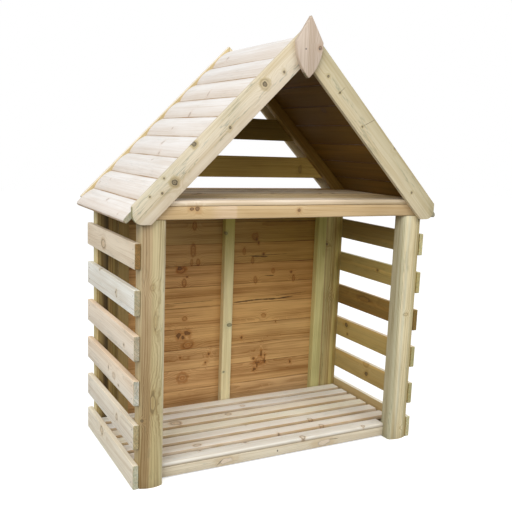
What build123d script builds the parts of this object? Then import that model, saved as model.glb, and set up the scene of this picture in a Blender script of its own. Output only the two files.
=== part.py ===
"""Garden log store: slatted sides, boarded back, batten floor, shelf and a log-lap pitched roof."""
from build123d import *
from math import sqrt
import os

# Frame: millimetres, X to the right, Y to the back, Z up. The origin is on the ground,
# under the middle of the whole store. Distances from front to back are first counted from
# the front ends of the side slats, then moved by FRONT_Y.

ROOT2 = sqrt(2.0)            # both roof slopes stand at 45 degrees

# ---- overall -------------------------------------------------------------------------
SIDE_WIDTH = 1300.0          # over the outer faces of the two slatted sides
SLAT_LENGTH = 655.0          # front to back
EASED = 2.5                  # small rounding on planed edges
NEAR = 1.0                   # reach when an edge is picked by its place

# ---- corner posts: flat back, softly crowned face --------------------------------------
POST_WIDTH = 95.0
POST_DEPTH = 67.0
POST_CROWN = 13.0
POST_ROUNDING = 9.0
POST_HEIGHT = 1009.0
POST_FRONT = -11.0           # crown of the front posts, ahead of the slat ends

# ---- side slats ----------------------------------------------------------------------
SLAT_HEIGHT = 94.0
SLAT_THICKNESS = 22.0
SLAT_COUNT = 6
LOWEST_SLAT_GAP = 64.0       # between the ground slat and the next one
TOP_SLAT_DROP = 82.2         # top of the highest slat below the post tops
SECOND_SLAT = SLAT_HEIGHT + LOWEST_SLAT_GAP
SLAT_PITCH = (POST_HEIGHT - TOP_SLAT_DROP - SLAT_HEIGHT - SECOND_SLAT) / (SLAT_COUNT - 2)
INNER_X = SIDE_WIDTH / 2.0 - SLAT_THICKNESS
POST_INNER_X = INNER_X - POST_WIDTH

# ---- back wall: boards behind three battens --------------------------------------------
BATTEN_WIDTH = 48.0
BATTEN_DEPTH = 36.0
BATTEN_PROUD = 1.0           # ahead of the flat faces of the rear posts
BATTEN_FRONT = SLAT_LENGTH - POST_DEPTH - BATTEN_PROUD
WALL_FRONT = BATTEN_FRONT + BATTEN_DEPTH
WALL_THICKNESS = 16.0
WALL_BACK = WALL_FRONT + WALL_THICKNESS
WALL_BOARD_PITCH = 99.5
WALL_FIRST_JOINT = 122.0
WALL_BOTTOM = 31.0
WALL_GROOVE = 2.0            # depth and half width of the open joint between two boards

# ---- floor ---------------------------------------------------------------------------
FLOOR_TOP = 63.0
FLOOR_SLAT_COUNT = 7
FLOOR_SLAT_WIDTH = 62.0
FLOOR_SLAT_THICKNESS = 18.0
FLOOR_SLAT_ROUNDING = 8.0
FLOOR_BATTEN_GAP = 2.0       # between the last slat and the battens of the back wall
FLOOR_SIDE_GAP = 13.0        # slat ends inside the slatted sides
FLOOR_BOTTOM = FLOOR_TOP - FLOOR_SLAT_THICKNESS
FASCIA_THICKNESS = 20.0
FASCIA_SETBACK = 6.0         # back of the fascia behind the flat face of the front posts
FASCIA_BOTTOM = 5.0
FASCIA_BACK = POST_FRONT + POST_DEPTH + FASCIA_SETBACK
BEARER_WIDTH = 38.0

# ---- shelf, over the log bay -----------------------------------------------------------
RAIL_HEIGHT = 49.0           # rails that stand on the post tops
RAIL_DEPTH = 45.0
RAIL_SETBACK = 2.0           # front rail behind the edge of the shelf
RAIL_FRONT = POST_FRONT + RAIL_SETBACK
RAIL_BACK = RAIL_FRONT + RAIL_DEPTH
SHELF_THICKNESS = 20.0
SHELF_BOARD_COUNT = 6
SHELF_BOARD_GAP = 2.0
SHELF_INSET = 23.0           # shelf ends inside the slatted sides, where they meet the roof
SHELF_BOTTOM = POST_HEIGHT + RAIL_HEIGHT
SHELF_TOP = SHELF_BOTTOM + SHELF_THICKNESS
SHELF_HALF_LENGTH = INNER_X - SHELF_INSET

# ---- roof: boards with a bowed face, lapped from ridge to eave ---------------------------
RIDGE_UNDERSIDE = SHELF_TOP + SHELF_HALF_LENGTH
EAVE_OVERHANG = 36.0         # underside of the eave beyond the slatted sides
ROOF_LENGTH = (SIDE_WIDTH / 2.0 + EAVE_OVERHANG) * ROOT2
ROOF_CROWN = 20.0            # board thickness at the middle
ROOF_JOINT = 11.0            # board thickness at its edges
ROOF_FIRST_JOINT = 108.0
ROOF_BOARD_PITCH = 109.0
LEAST_BOARD = 0.5            # the eave board is never narrower than this part of a pitch
EAVE_THICKNESS = 18.0
EAVE_ROUNDING = 8.0

# ---- sloping boards that edge the roof ---------------------------------------------------
BARGE_THICKNESS = 20.0
FRONT_BARGE_RISE = 47.6      # top edges of the front pair above the ridge underside
FRONT_BARGE_WIDTH = 95.0
FRONT_BARGE_OVERHANG = 20.0  # feet beyond the slatted sides
FRONT_BARGE_DROP = 14.0      # feet below the post tops
FRONT_BARGE_ROUNDING = 38.0
REAR_BARGE_RISE = 34.6
REAR_BARGE_WIDTH = 70.0
REAR_BARGE_OVERHANG = 26.0
REAR_BARGE_LIFT = 21.0       # feet above the post tops
REAR_BARGE_ROUNDING = 6.0
RAFTER_DEPTH = 44.0          # rear rafters, square to the roof
RAFTER_THICKNESS = 36.0
RAFTER_BACK = BATTEN_FRONT

# ---- gable slats and finial ------------------------------------------------------------
GABLE_SLAT_HEIGHT = 97.0
GABLE_SLAT_THICKNESS = 20.0
GABLE_SLAT_LIFTS = {"lower": 53.0, "upper": 225.0}  # above the shelf
FINIAL_THICKNESS = 20.0
FINIAL_HALF_WIDTH = 57.0
FINIAL_RISE = 79.0           # tip above the ridge underside
FINIAL_TIP_HEIGHT = 94.0     # tip above the shoulders
FINIAL_LENGTH = 227.0
FINIAL_BOW_X = 43.0          # a point on the bowed lower edge, from the middle line
FINIAL_BOW_LIFT = 62.0       # and above the foot

FINIAL_FRONT = POST_FRONT - BARGE_THICKNESS - FINIAL_THICKNESS
BACK_EDGE = SLAT_LENGTH + BARGE_THICKNESS
FRONT_Y = -(FINIAL_FRONT + BACK_EDGE) / 2.0


def block(x_range, s_range, z_range):
    """A plain timber between three pairs of limits; s is counted back from the slat ends."""
    limits = (x_range, s_range, z_range)
    size = [high - low for low, high in limits]
    middle = [(low + high) / 2.0 for low, high in limits]
    return Pos(middle[0], middle[1] + FRONT_Y, middle[2]) * Box(*size)


def eased(timber, axis, radius=EASED):
    """The timber with its edges along one axis rounded."""
    return fillet(timber.edges().filter_by(axis), radius)


def prism(edges, s_front, s_back):
    """A flat outline drawn in X and Z, made as thick as the two distances say."""
    face = Plane.XZ * make_face(edges)
    board = extrude(face, amount=s_back - s_front, dir=(0, 1, 0))
    return Pos(0, s_front + FRONT_Y, 0) * board


def loop(points):
    """Straight edges joining the points and closing on the first."""
    return [Line(a, b) for a, b in zip(points, points[1:] + points[:1])]


def mirrored(timber):
    """The same piece on the other side of the store."""
    return mirror(timber, about=Plane.YZ)


def rounded_at(board, x, z, radius):
    """The board with its front-to-back edge at one place rounded."""
    corner = [
        edge for edge in board.edges().filter_by(Axis.Y)
        if abs(edge.center().X - x) < NEAR and abs(edge.center().Z - z) < NEAR
    ]
    return fillet(corner, radius)


def corner_post(s_flat, s_crown):
    """A right-hand post with three flat faces and a crowned fourth one."""
    middle = (POST_INNER_X + INNER_X) / 2.0
    towards_flat = 1.0 if s_flat > s_crown else -1.0
    s_shoulder = s_crown + towards_flat * POST_CROWN
    section = make_face([
        Line((POST_INNER_X, s_flat), (INNER_X, s_flat)),
        Line((INNER_X, s_flat), (INNER_X, s_shoulder)),
        ThreePointArc((INNER_X, s_shoulder), (middle, s_crown), (POST_INNER_X, s_shoulder)),
        Line((POST_INNER_X, s_shoulder), (POST_INNER_X, s_flat)),
    ])
    post = extrude(section, amount=POST_HEIGHT, dir=(0, 0, 1))
    shoulders = [
        edge for edge in post.edges().filter_by(Axis.Z)
        if abs(edge.center().Y - s_shoulder) < NEAR
    ]
    return Pos(0, FRONT_Y, 0) * fillet(shoulders, POST_ROUNDING)


def side_slats(side):
    """The horizontal slats on one side, lowest first."""
    outer = side * SIDE_WIDTH / 2.0
    inner = side * INNER_X
    x_range = (min(inner, outer), max(inner, outer))
    bottoms = [0.0] + [SECOND_SLAT + step * SLAT_PITCH for step in range(SLAT_COUNT - 1)]
    return [
        eased(block(x_range, (0, SLAT_LENGTH), (z, z + SLAT_HEIGHT)), Axis.Y)
        for z in bottoms
    ]


def roof_point(along, above):
    """A point of the right-hand slope: distance down the underside, and height off it."""
    return ((along + above) / ROOT2, RIDGE_UNDERSIDE + (above - along) / ROOT2)


def roof_slope():
    """The lapped boards of the right-hand slope, cut plumb where they meet the other slope."""
    joints = [-ROOF_JOINT, ROOF_FIRST_JOINT]
    while joints[-1] + (1.0 + LEAST_BOARD) * ROOF_BOARD_PITCH < ROOF_LENGTH:
        joints.append(joints[-1] + ROOF_BOARD_PITCH)
    edges = [Line(roof_point(0, 0), roof_point(joints[0], ROOF_JOINT))]
    for upper, lower in zip(joints, joints[1:]):
        middle = roof_point((upper + lower) / 2.0, ROOF_CROWN)
        edges.append(ThreePointArc(roof_point(upper, ROOF_JOINT), middle, roof_point(lower, ROOF_JOINT)))
    eave = roof_point(ROOF_LENGTH, EAVE_THICKNESS)
    middle = roof_point((joints[-1] + ROOF_LENGTH) / 2.0, ROOF_CROWN)
    edges.append(ThreePointArc(roof_point(joints[-1], ROOF_JOINT), middle, eave))
    edges.append(Line(eave, roof_point(ROOF_LENGTH, 0)))
    edges.append(Line(roof_point(ROOF_LENGTH, 0), roof_point(0, 0)))
    slope = prism(edges, POST_FRONT, SLAT_LENGTH)
    for corner_x, corner_z in (eave, roof_point(ROOF_LENGTH, 0)):
        slope = rounded_at(slope, corner_x, corner_z, EAVE_ROUNDING)
    return slope


def barge_board(apex, width, tip_x, foot, rounding, s_front, s_back):
    """A right-hand sloping board, plumb cut at the ridge, level cut and rounded at its foot."""
    lower_apex = apex - width * ROOT2
    points = [(0, apex), (tip_x, apex - tip_x), (tip_x, foot), (lower_apex - foot, foot), (0, lower_apex)]
    return rounded_at(prism(loop(points), s_front, s_back), tip_x, foot, rounding)


def gable_slat(bottom):
    """A horizontal slat of the rear gable, its ends cut to the slope of the roof."""
    top = bottom + GABLE_SLAT_HEIGHT
    points = [
        (bottom - RIDGE_UNDERSIDE, bottom),
        (RIDGE_UNDERSIDE - bottom, bottom),
        (RIDGE_UNDERSIDE - top, top),
        (top - RIDGE_UNDERSIDE, top),
    ]
    return prism(loop(points), RAFTER_BACK, RAFTER_BACK + GABLE_SLAT_THICKNESS)


def rear_rafter():
    """The right-hand rafter of the rear gable, standing on the shelf."""
    lower = RIDGE_UNDERSIDE - RAFTER_DEPTH * ROOT2
    points = [
        (0, RIDGE_UNDERSIDE),
        (RIDGE_UNDERSIDE - SHELF_TOP, SHELF_TOP),
        (lower - SHELF_TOP, SHELF_TOP),
        (0, lower),
    ]
    return prism(loop(points), RAFTER_BACK - RAFTER_THICKNESS, RAFTER_BACK)


def wall_boards():
    """The boarded back: one panel, with an open joint cut where two boards meet."""
    wall = block((-POST_INNER_X, POST_INNER_X), (WALL_FRONT, WALL_BACK), (WALL_BOTTOM, SHELF_BOTTOM))
    side = WALL_GROOVE * ROOT2
    notch = Rot(45, 0, 0) * Box(2.0 * POST_INNER_X, side, side)
    joint = WALL_FIRST_JOINT
    while joint < SHELF_BOTTOM - WALL_BOARD_PITCH * LEAST_BOARD / 2.0:
        wall -= Pos(0, WALL_FRONT + FRONT_Y, joint) * notch
        wall -= Pos(0, WALL_BACK + FRONT_Y, joint) * notch
        joint += WALL_BOARD_PITCH
    return wall


def floor_slats():
    """The floor slats, top edges well rounded; the first lies on the fascia, between the posts."""
    first = FASCIA_BACK - FASCIA_THICKNESS
    last = BATTEN_FRONT - FLOOR_BATTEN_GAP - FLOOR_SLAT_WIDTH
    pitch = (last - first) / (FLOOR_SLAT_COUNT - 1)
    slats = []
    for index in range(FLOOR_SLAT_COUNT):
        half_length = POST_INNER_X if index == 0 else INNER_X - FLOOR_SIDE_GAP
        front = first + index * pitch
        s_range = (front, front + FLOOR_SLAT_WIDTH)
        slat = block((-half_length, half_length), s_range, (FLOOR_BOTTOM, FLOOR_TOP))
        top_edges = [edge for edge in slat.edges().filter_by(Axis.X) if edge.center().Z > FLOOR_TOP - NEAR]
        slats.append(fillet(top_edges, FLOOR_SLAT_ROUNDING))
    return slats


def shelf_boards():
    """The shelf, front board first; the ends meet the underside of the roof."""
    gaps = (SHELF_BOARD_COUNT - 1) * SHELF_BOARD_GAP
    width = (WALL_BACK - POST_FRONT - gaps) / SHELF_BOARD_COUNT
    x_range = (-SHELF_HALF_LENGTH, SHELF_HALF_LENGTH)
    boards = []
    for index in range(SHELF_BOARD_COUNT):
        front = POST_FRONT + index * (width + SHELF_BOARD_GAP)
        board = block(x_range, (front, front + width), (SHELF_BOTTOM, SHELF_TOP))
        boards.append(eased(board, Axis.X))
    return boards


def side_rail():
    """The right-hand rail that carries the shelf ends; its top corner is bevelled to the roof."""
    points = [
        (INNER_X - RAIL_DEPTH, POST_HEIGHT),
        (INNER_X, POST_HEIGHT),
        (INNER_X, RIDGE_UNDERSIDE - INNER_X),
        (RIDGE_UNDERSIDE - SHELF_BOTTOM, SHELF_BOTTOM),
        (INNER_X - RAIL_DEPTH, SHELF_BOTTOM),
    ]
    return prism(loop(points), RAIL_BACK, SLAT_LENGTH)


def finial():
    """The leaf-shaped board over the peak."""
    tip = (0, RIDGE_UNDERSIDE + FINIAL_RISE)
    foot = (0, tip[1] - FINIAL_LENGTH)
    shoulder_z = tip[1] - FINIAL_TIP_HEIGHT
    bow_z = foot[1] + FINIAL_BOW_LIFT
    edges = [
        Line(tip, (FINIAL_HALF_WIDTH, shoulder_z)),
        ThreePointArc((FINIAL_HALF_WIDTH, shoulder_z), (FINIAL_BOW_X, bow_z), foot),
        ThreePointArc(foot, (-FINIAL_BOW_X, bow_z), (-FINIAL_HALF_WIDTH, shoulder_z)),
        Line((-FINIAL_HALF_WIDTH, shoulder_z), tip),
    ]
    return prism(edges, FINIAL_FRONT, FINIAL_FRONT + FINIAL_THICKNESS)


pieces = {}

# Corner posts
pieces["front_post_right"] = corner_post(POST_FRONT + POST_DEPTH, POST_FRONT)
pieces["rear_post_right"] = corner_post(SLAT_LENGTH - POST_DEPTH, SLAT_LENGTH)
pieces["front_post_left"] = mirrored(pieces["front_post_right"])
pieces["rear_post_left"] = mirrored(pieces["rear_post_right"])

# Slatted sides
for side_name, side_sign in (("left", -1), ("right", 1)):
    for number, slat in enumerate(side_slats(side_sign), start=1):
        pieces[f"{side_name}_slat_{number}"] = slat

# Back wall with its battens
pieces["back_wall"] = wall_boards()
batten_z = (FLOOR_BOTTOM, SHELF_BOTTOM)
batten_s = (BATTEN_FRONT, WALL_FRONT)
half_batten = BATTEN_WIDTH / 2.0
side_batten_x = (POST_INNER_X - BATTEN_WIDTH, POST_INNER_X)
pieces["back_batten_middle"] = eased(block((-half_batten, half_batten), batten_s, batten_z), Axis.Z)
pieces["back_batten_right"] = eased(block(side_batten_x, batten_s, batten_z), Axis.Z)
pieces["back_batten_left"] = mirrored(pieces["back_batten_right"])

# Floor
bearer_z = (0.0, FLOOR_BOTTOM)
half_bearer = BEARER_WIDTH / 2.0
side_bearer_s = (POST_FRONT + POST_DEPTH, SLAT_LENGTH - POST_DEPTH)
fascia_s = (FASCIA_BACK - FASCIA_THICKNESS, FASCIA_BACK)
pieces["floor_slats"] = Compound(children=floor_slats())
pieces["floor_bearer_right"] = block((INNER_X - BEARER_WIDTH, INNER_X), side_bearer_s, bearer_z)
pieces["floor_bearer_left"] = mirrored(pieces["floor_bearer_right"])
pieces["floor_bearer_middle"] = block((-half_bearer, half_bearer), (FASCIA_BACK, WALL_FRONT), bearer_z)
pieces["floor_fascia"] = eased(
    block((-POST_INNER_X, POST_INNER_X), fascia_s, (FASCIA_BOTTOM, FLOOR_BOTTOM)), Axis.X
)

# Shelf
for number, board in enumerate(shelf_boards(), start=1):
    pieces[f"shelf_board_{number}"] = board
rail_end = RIDGE_UNDERSIDE - SHELF_BOTTOM
pieces["shelf_rail_front"] = eased(
    block((-rail_end, rail_end), (RAIL_FRONT, RAIL_BACK), (POST_HEIGHT, SHELF_BOTTOM)), Axis.X
)
pieces["shelf_rail_right"] = side_rail()
pieces["shelf_rail_left"] = mirrored(pieces["shelf_rail_right"])

# Roof
pieces["roof_boards_right"] = roof_slope()
pieces["roof_boards_left"] = mirrored(pieces["roof_boards_right"])
pieces["front_barge_right"] = barge_board(
    apex=RIDGE_UNDERSIDE + FRONT_BARGE_RISE,
    width=FRONT_BARGE_WIDTH,
    tip_x=SIDE_WIDTH / 2.0 + FRONT_BARGE_OVERHANG,
    foot=POST_HEIGHT - FRONT_BARGE_DROP,
    rounding=FRONT_BARGE_ROUNDING,
    s_front=POST_FRONT - BARGE_THICKNESS,
    s_back=POST_FRONT,
)
pieces["front_barge_left"] = mirrored(pieces["front_barge_right"])
pieces["rear_barge_right"] = barge_board(
    apex=RIDGE_UNDERSIDE + REAR_BARGE_RISE,
    width=REAR_BARGE_WIDTH,
    tip_x=SIDE_WIDTH / 2.0 + REAR_BARGE_OVERHANG,
    foot=POST_HEIGHT + REAR_BARGE_LIFT,
    rounding=REAR_BARGE_ROUNDING,
    s_front=SLAT_LENGTH,
    s_back=BACK_EDGE,
)
pieces["rear_barge_left"] = mirrored(pieces["rear_barge_right"])
pieces["rear_rafter_right"] = rear_rafter()
pieces["rear_rafter_left"] = mirrored(pieces["rear_rafter_right"])

# Rear gable slats and the leaf over the front peak
for level, lift in GABLE_SLAT_LIFTS.items():
    pieces[f"gable_slat_{level}"] = gable_slat(SHELF_TOP + lift)
pieces["finial"] = finial()

os.makedirs("parts", exist_ok=True)
for name, piece in pieces.items():
    export_step(piece, f"parts/{name}.step")
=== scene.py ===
"""Looks for the garden log store: eased boards, nails and a treated softwood finish."""
import math
import random

import bmesh
import bpy
from mathutils import Matrix, Vector, noise


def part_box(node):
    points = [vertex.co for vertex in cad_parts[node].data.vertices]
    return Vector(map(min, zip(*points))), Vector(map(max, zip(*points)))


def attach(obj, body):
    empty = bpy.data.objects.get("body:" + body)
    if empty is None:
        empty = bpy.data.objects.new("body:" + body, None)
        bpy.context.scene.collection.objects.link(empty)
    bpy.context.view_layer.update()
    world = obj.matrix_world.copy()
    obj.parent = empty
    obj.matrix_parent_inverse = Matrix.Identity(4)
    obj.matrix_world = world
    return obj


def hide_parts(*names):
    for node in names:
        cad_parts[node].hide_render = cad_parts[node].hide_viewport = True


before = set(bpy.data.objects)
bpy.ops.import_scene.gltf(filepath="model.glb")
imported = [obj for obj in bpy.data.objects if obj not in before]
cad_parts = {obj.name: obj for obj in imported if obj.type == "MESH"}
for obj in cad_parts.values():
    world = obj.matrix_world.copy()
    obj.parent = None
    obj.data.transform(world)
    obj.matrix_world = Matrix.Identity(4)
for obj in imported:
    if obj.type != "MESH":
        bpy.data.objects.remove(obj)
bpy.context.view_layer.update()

ROOT2 = math.sqrt(2.0)
X, Y, Z = Vector((1, 0, 0)), Vector((0, 1, 0)), Vector((0, 0, 1))
SIDES = (("left", -1.0), ("right", 1.0))
chance = random.Random(7)

# ---------------------------------------------------------------- node helpers
FAR = 9.0  # knot radii: as good as no knot near
RING_WIDTH = 0.005  # one year's growth
RELIEF = 0.0006  # depth of the sawn surface
HEART = (0.05, 0.045)  # how far beside and below a board the heart of its log lies


class Wiring:
    """Shorthand for placing and joining the nodes of one tree."""

    def __init__(self, tree):
        self.tree = tree

    def put(self, kind, inputs=None, **settings):
        made = self.tree.nodes.new("ShaderNode" + kind)
        for key, value in settings.items():
            setattr(made, key, value)
        for key, value in (inputs or {}).items():
            self.feed(made.inputs[key], value)
        return made

    def feed(self, socket, value):
        if isinstance(value, bpy.types.NodeSocket):
            self.tree.links.new(value, socket)
        elif value is not None:
            socket.default_value = value

    def close(self, shader, kind="OutputMaterial"):
        self.feed(self.put(kind).inputs["Surface"], shader.outputs[0])

    def maths(self, kind, a, b=None, clamp=False):
        return self.put("Math", {0: a, 1: b}, operation=kind, use_clamp=clamp).outputs[0]

    def chain(self, kind, values):
        total = values[0]
        for value in values[1:]:
            total = self.maths(kind, total, value)
        return total

    def plus(self, *values):
        return self.chain("ADD", values)

    def times(self, *values):
        return self.chain("MULTIPLY", values)

    def minus(self, a, b):
        return self.maths("SUBTRACT", a, b)

    def vector(self, kind, a, b=None):
        made = self.put("VectorMath", {0: a, 1: b}, operation=kind)
        return made.outputs["Value" if kind in ("LENGTH", "DOT_PRODUCT") else "Vector"]

    def scaled(self, vector, by):
        return self.put("VectorMath", {0: vector, "Scale": by}, operation="SCALE").outputs["Vector"]

    def ramp(self, value, low, high, to_low=0.0, to_high=1.0):
        ends = {"Value": value, "From Min": low, "From Max": high, "To Min": to_low, "To Max": to_high}
        return self.put("MapRange", ends, interpolation_type="SMOOTHSTEP").outputs["Result"]

    def band(self, value, start, full, fading, gone):
        """A mask that rises from start to full and falls from fading to gone."""
        return self.times(self.ramp(value, start, full), self.ramp(value, fading, gone, 1.0, 0.0))

    def mix(self, share, a, b, kind="MIX"):
        return self.put("Mix", {0: share, 6: a, 7: b}, data_type="RGBA", blend_type=kind).outputs[2]

    def tinted(self, colour, by):
        return self.mix(1.0, colour, by, "MULTIPLY")

    def noise(self, vector, scale=1.0, detail=2.0, rough=0.5):
        inputs = {"Vector": vector, "Scale": scale, "Detail": detail, "Roughness": rough}
        return self.put("TexNoise", inputs).outputs[0]

    def seen(self):
        """Where the background shows itself: to the camera, in gloss and through glass."""
        path = self.put("LightPath").outputs
        mirrored = self.maths("MAXIMUM", path["Is Glossy Ray"], path["Is Transmission Ray"])
        return self.maths("MAXIMUM", path["Is Camera Ray"], mirrored)


def blank(owner):
    """Clear the nodes of a material or a world, and hand over its wiring."""
    owner.use_nodes = True
    owner.node_tree.nodes.clear()
    return Wiring(owner.node_tree)


def new_group(name, inputs, outputs):
    """An empty node group: the group, its wiring, the sockets that come in and the sockets that go out."""
    group = bpy.data.node_groups.new(name, "ShaderNodeTree")
    for label, value in inputs.items():
        kind = {1: "Float", 3: "Vector", 4: "Color"}[len(value) if isinstance(value, tuple) else 1]
        socket = group.interface.new_socket(name=label, in_out="INPUT", socket_type="NodeSocket" + kind)
        socket.default_value = value
    for label, kind in outputs.items():
        group.interface.new_socket(name=label, in_out="OUTPUT", socket_type="NodeSocket" + kind)
    entry = group.nodes.new("NodeGroupInput").outputs
    leave = group.nodes.new("NodeGroupOutput").inputs
    return group, Wiring(group), entry, leave


def knot_group():
    """How near a point is to the closest knot, counted in knot radii."""
    group, w, entry, leave = new_group(
        "knot",
        {"Point": (0, 0, 0), "Place": (0, 0, 0), "Size": (0.01, 0.01, 0.01), "Nearest": FAR},
        {"Nearest": "Float"},
    )
    away = w.vector("DIVIDE", w.vector("SUBTRACT", entry["Point"], entry["Place"]), entry["Size"])
    w.feed(leave["Nearest"], w.maths("MINIMUM", w.vector("LENGTH", away), entry["Nearest"]))
    return group


def split_group():
    """A thin drying split between two points, thicker in its middle."""
    group, w, entry, leave = new_group(
        "split",
        {"Point": (0, 0, 0), "Start": (0, 0, 0), "End": (1, 0, 0), "Width": 0.002, "Before": 0.0},
        {"Split": "Float"},
    )
    run = w.vector("SUBTRACT", entry["End"], entry["Start"])
    offset = w.vector("SUBTRACT", entry["Point"], entry["Start"])
    length = w.vector("LENGTH", run)
    share = w.maths("DIVIDE", w.vector("DOT_PRODUCT", offset, run), w.times(length, length), clamp=True)
    away = w.vector("LENGTH", w.vector("SUBTRACT", offset, w.scaled(run, share)))
    wander = w.noise(entry["Point"], 40.0)
    away = w.plus(away, w.times(w.minus(wander, 0.5), entry["Width"]))
    middle = w.maths("SQRT", w.times(share, w.minus(1.0, share)))
    half = w.times(entry["Width"], w.plus(middle, 0.05))
    mask = w.ramp(w.maths("DIVIDE", away, half), 0.7, 1.2, 1.0, 0.0)
    w.feed(leave["Split"], w.maths("MAXIMUM", mask, entry["Before"]))
    return group


def timber_group():
    """Growth rings, fibres, streaks, knots, dirt and painted shade, and end grain of a sawn softwood board.
    """
    group, w, entry, leave = new_group(
        "timber",
        {"Grain": (0, 0, 0), "Tone": (1, 1, 1), "Cut End": 0.0, "Seam": 0.0, "In Painted Shade": 0.0,
         "Pale": (0.6, 0.5, 0.35, 1), "Deep": (0.4, 0.28, 0.15, 1), "Knot": (0.16, 0.08, 0.03, 1),
         "Halo": (0.4, 0.25, 0.1, 1), "Stain": (0.6, 0.5, 0.3, 1), "Dirt": (0.45, 0.3, 0.14, 1),
         "Rings": 0.6, "Streaks": 0.5, "Mineral": 0.3, "Small Knots": 0.15, "Knot Strength": 0.8,
         "Gnarl": 1.3, "Joint Wear": 0.3, "Nearest": FAR, "Figure": FAR, "Split": 0.0},
        {"Color": "Color", "Roughness": "Float", "Height": "Float"},
    )
    grain = entry["Grain"]

    def drawn_out(along, across, detail=2.0, rough=0.5):
        """Noise that is drawn out along the grain."""
        return w.noise(w.vector("MULTIPLY", grain, (along, across, across)), 1.0, detail, rough)

    # scattered small knots: one chance per cell, kept round however the cells are drawn out
    cells_along, cells_across = 2.2, 11.0
    cell = w.vector("MULTIPLY", grain, (cells_along, cells_across, 0.0))
    cells = w.put("TexVoronoi", {"Vector": cell, "Scale": 1.0}, voronoi_dimensions="2D").outputs
    gap = w.vector("SUBTRACT", cells["Position"], cell)
    gap = w.vector("MULTIPLY", gap, (1.0 / cells_along, 1.0 / cells_across, 0.0))
    lot = w.put("SeparateXYZ", {0: cells["Color"]}).outputs
    size = w.plus(0.002, w.times(lot[1], 0.0045))
    absent = w.minus(1.0, w.maths("LESS_THAN", lot[0], entry["Small Knots"]))
    small = w.plus(w.maths("DIVIDE", w.vector("LENGTH", gap), size), w.times(absent, FAR))
    uneven = w.noise(grain, 45.0)
    gnarled = w.plus(1.0, w.times(w.minus(uneven, 0.5), entry["Gnarl"]))
    near = w.times(w.maths("MINIMUM", small, entry["Nearest"]), gnarled)
    figure = w.times(entry["Figure"], w.plus(0.6, w.times(uneven, 0.8)))

    # growth rings about the heart of the log, pushed aside by the knots
    mark = w.maths("MINIMUM", near, figure)
    bend = w.maths("EXPONENT", w.times(mark, mark, -0.12))
    heart = w.vector("LENGTH", w.vector("MULTIPLY", grain, (0, 1, 1)))
    slow, quick = w.times(drawn_out(0.9, 7.0), 0.034), w.times(drawn_out(6.0, 40.0), 0.003)
    turn = w.maths("DIVIDE", w.plus(heart, slow, quick, w.times(bend, 0.013)), RING_WIDTH)
    year = w.put("TexWhiteNoise", {"W": w.maths("FLOOR", turn)}, noise_dimensions="1D").outputs["Value"]
    late = w.times(w.band(w.maths("FRACT", turn), 0.25, 0.88, 0.9, 1.0), w.plus(0.25, w.times(year, 0.75)))

    fine = drawn_out(14.0, 520.0, 3.0, 0.65)
    fibre = drawn_out(3.0, 130.0, 3.0, 0.6)
    streak = drawn_out(0.8, 32.0, 3.0, 0.55)
    patch = drawn_out(3.5, 14.0, 3.0, 0.6)
    rings = w.times(late, entry["Rings"])
    streaks = w.times(w.ramp(streak, 0.34, 0.70), entry["Streaks"])
    depth = w.plus(rings, streaks, w.times(w.minus(patch, 0.5), 1.1))
    depth = w.maths("ADD", depth, w.times(w.minus(fibre, 0.5), 1.2), clamp=True)
    colour = w.mix(depth, entry["Pale"], entry["Deep"])

    # thin blue-grey mineral lines and blotches that run with the grain
    vein = drawn_out(4.5, 45.0, 3.0, 0.65)
    line = w.ramp(w.maths("ABSOLUTE", w.minus(vein, 0.5)), 0.0, 0.035, 1.0, 0.0)
    line = w.times(line, w.ramp(drawn_out(2.6, 18.0), 0.5, 0.62), entry["Mineral"])
    colour = w.mix(line, colour, w.tinted(colour, (0.60, 0.66, 0.68, 1)))

    # each board has a tone of its own
    light = w.plus(0.93, w.times(fine, 0.14))
    colour = w.scaled(w.vector("MULTIPLY", colour, entry["Tone"]), light)

    # pale figures: sound knots cut across, soft rings inside a thin dark one
    glow = w.vector("MULTIPLY", entry["Halo"], entry["Tone"])
    circles = w.maths("PINGPONG", w.times(figure, 2.2), 1.0)
    colour = w.mix(w.times(w.ramp(figure, 0.9, 2.4, 0.8, 0.0), circles), colour, glow)
    ring = w.times(w.band(figure, 0.7, 0.95, 1.0, 1.4), w.ramp(patch, 0.35, 0.65, 0.4, 1.0))
    colour = w.mix(ring, colour, w.mix(0.55, glow, entry["Knot"]))

    # knots: a halo, a ringed centre and a dark rim
    strength = entry["Knot Strength"]
    colour = w.mix(w.times(w.ramp(near, 0.9, 3.2, 0.6, 0.0), strength), colour, glow)
    core = w.ramp(near, 0.75, 1.15, 1.0, 0.0)
    ringed = w.maths("PINGPONG", w.times(near, 2.6), 1.0)
    inside = w.mix(w.times(ringed, 0.35), entry["Knot"], entry["Deep"])
    colour = w.mix(w.times(core, w.times(strength, 0.85)), colour, inside)
    rim = w.times(w.band(near, 0.65, 0.9, 0.95, 1.25), strength, w.ramp(patch, 0.35, 0.65, 0.1, 0.8))
    colour = w.mix(rim, colour, w.mix(0.6, entry["Knot"], (0.02, 0.012, 0.006, 1)))
    colour = w.mix(w.times(entry["Split"], 0.85), colour, (0.03, 0.014, 0.006, 1))
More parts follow.
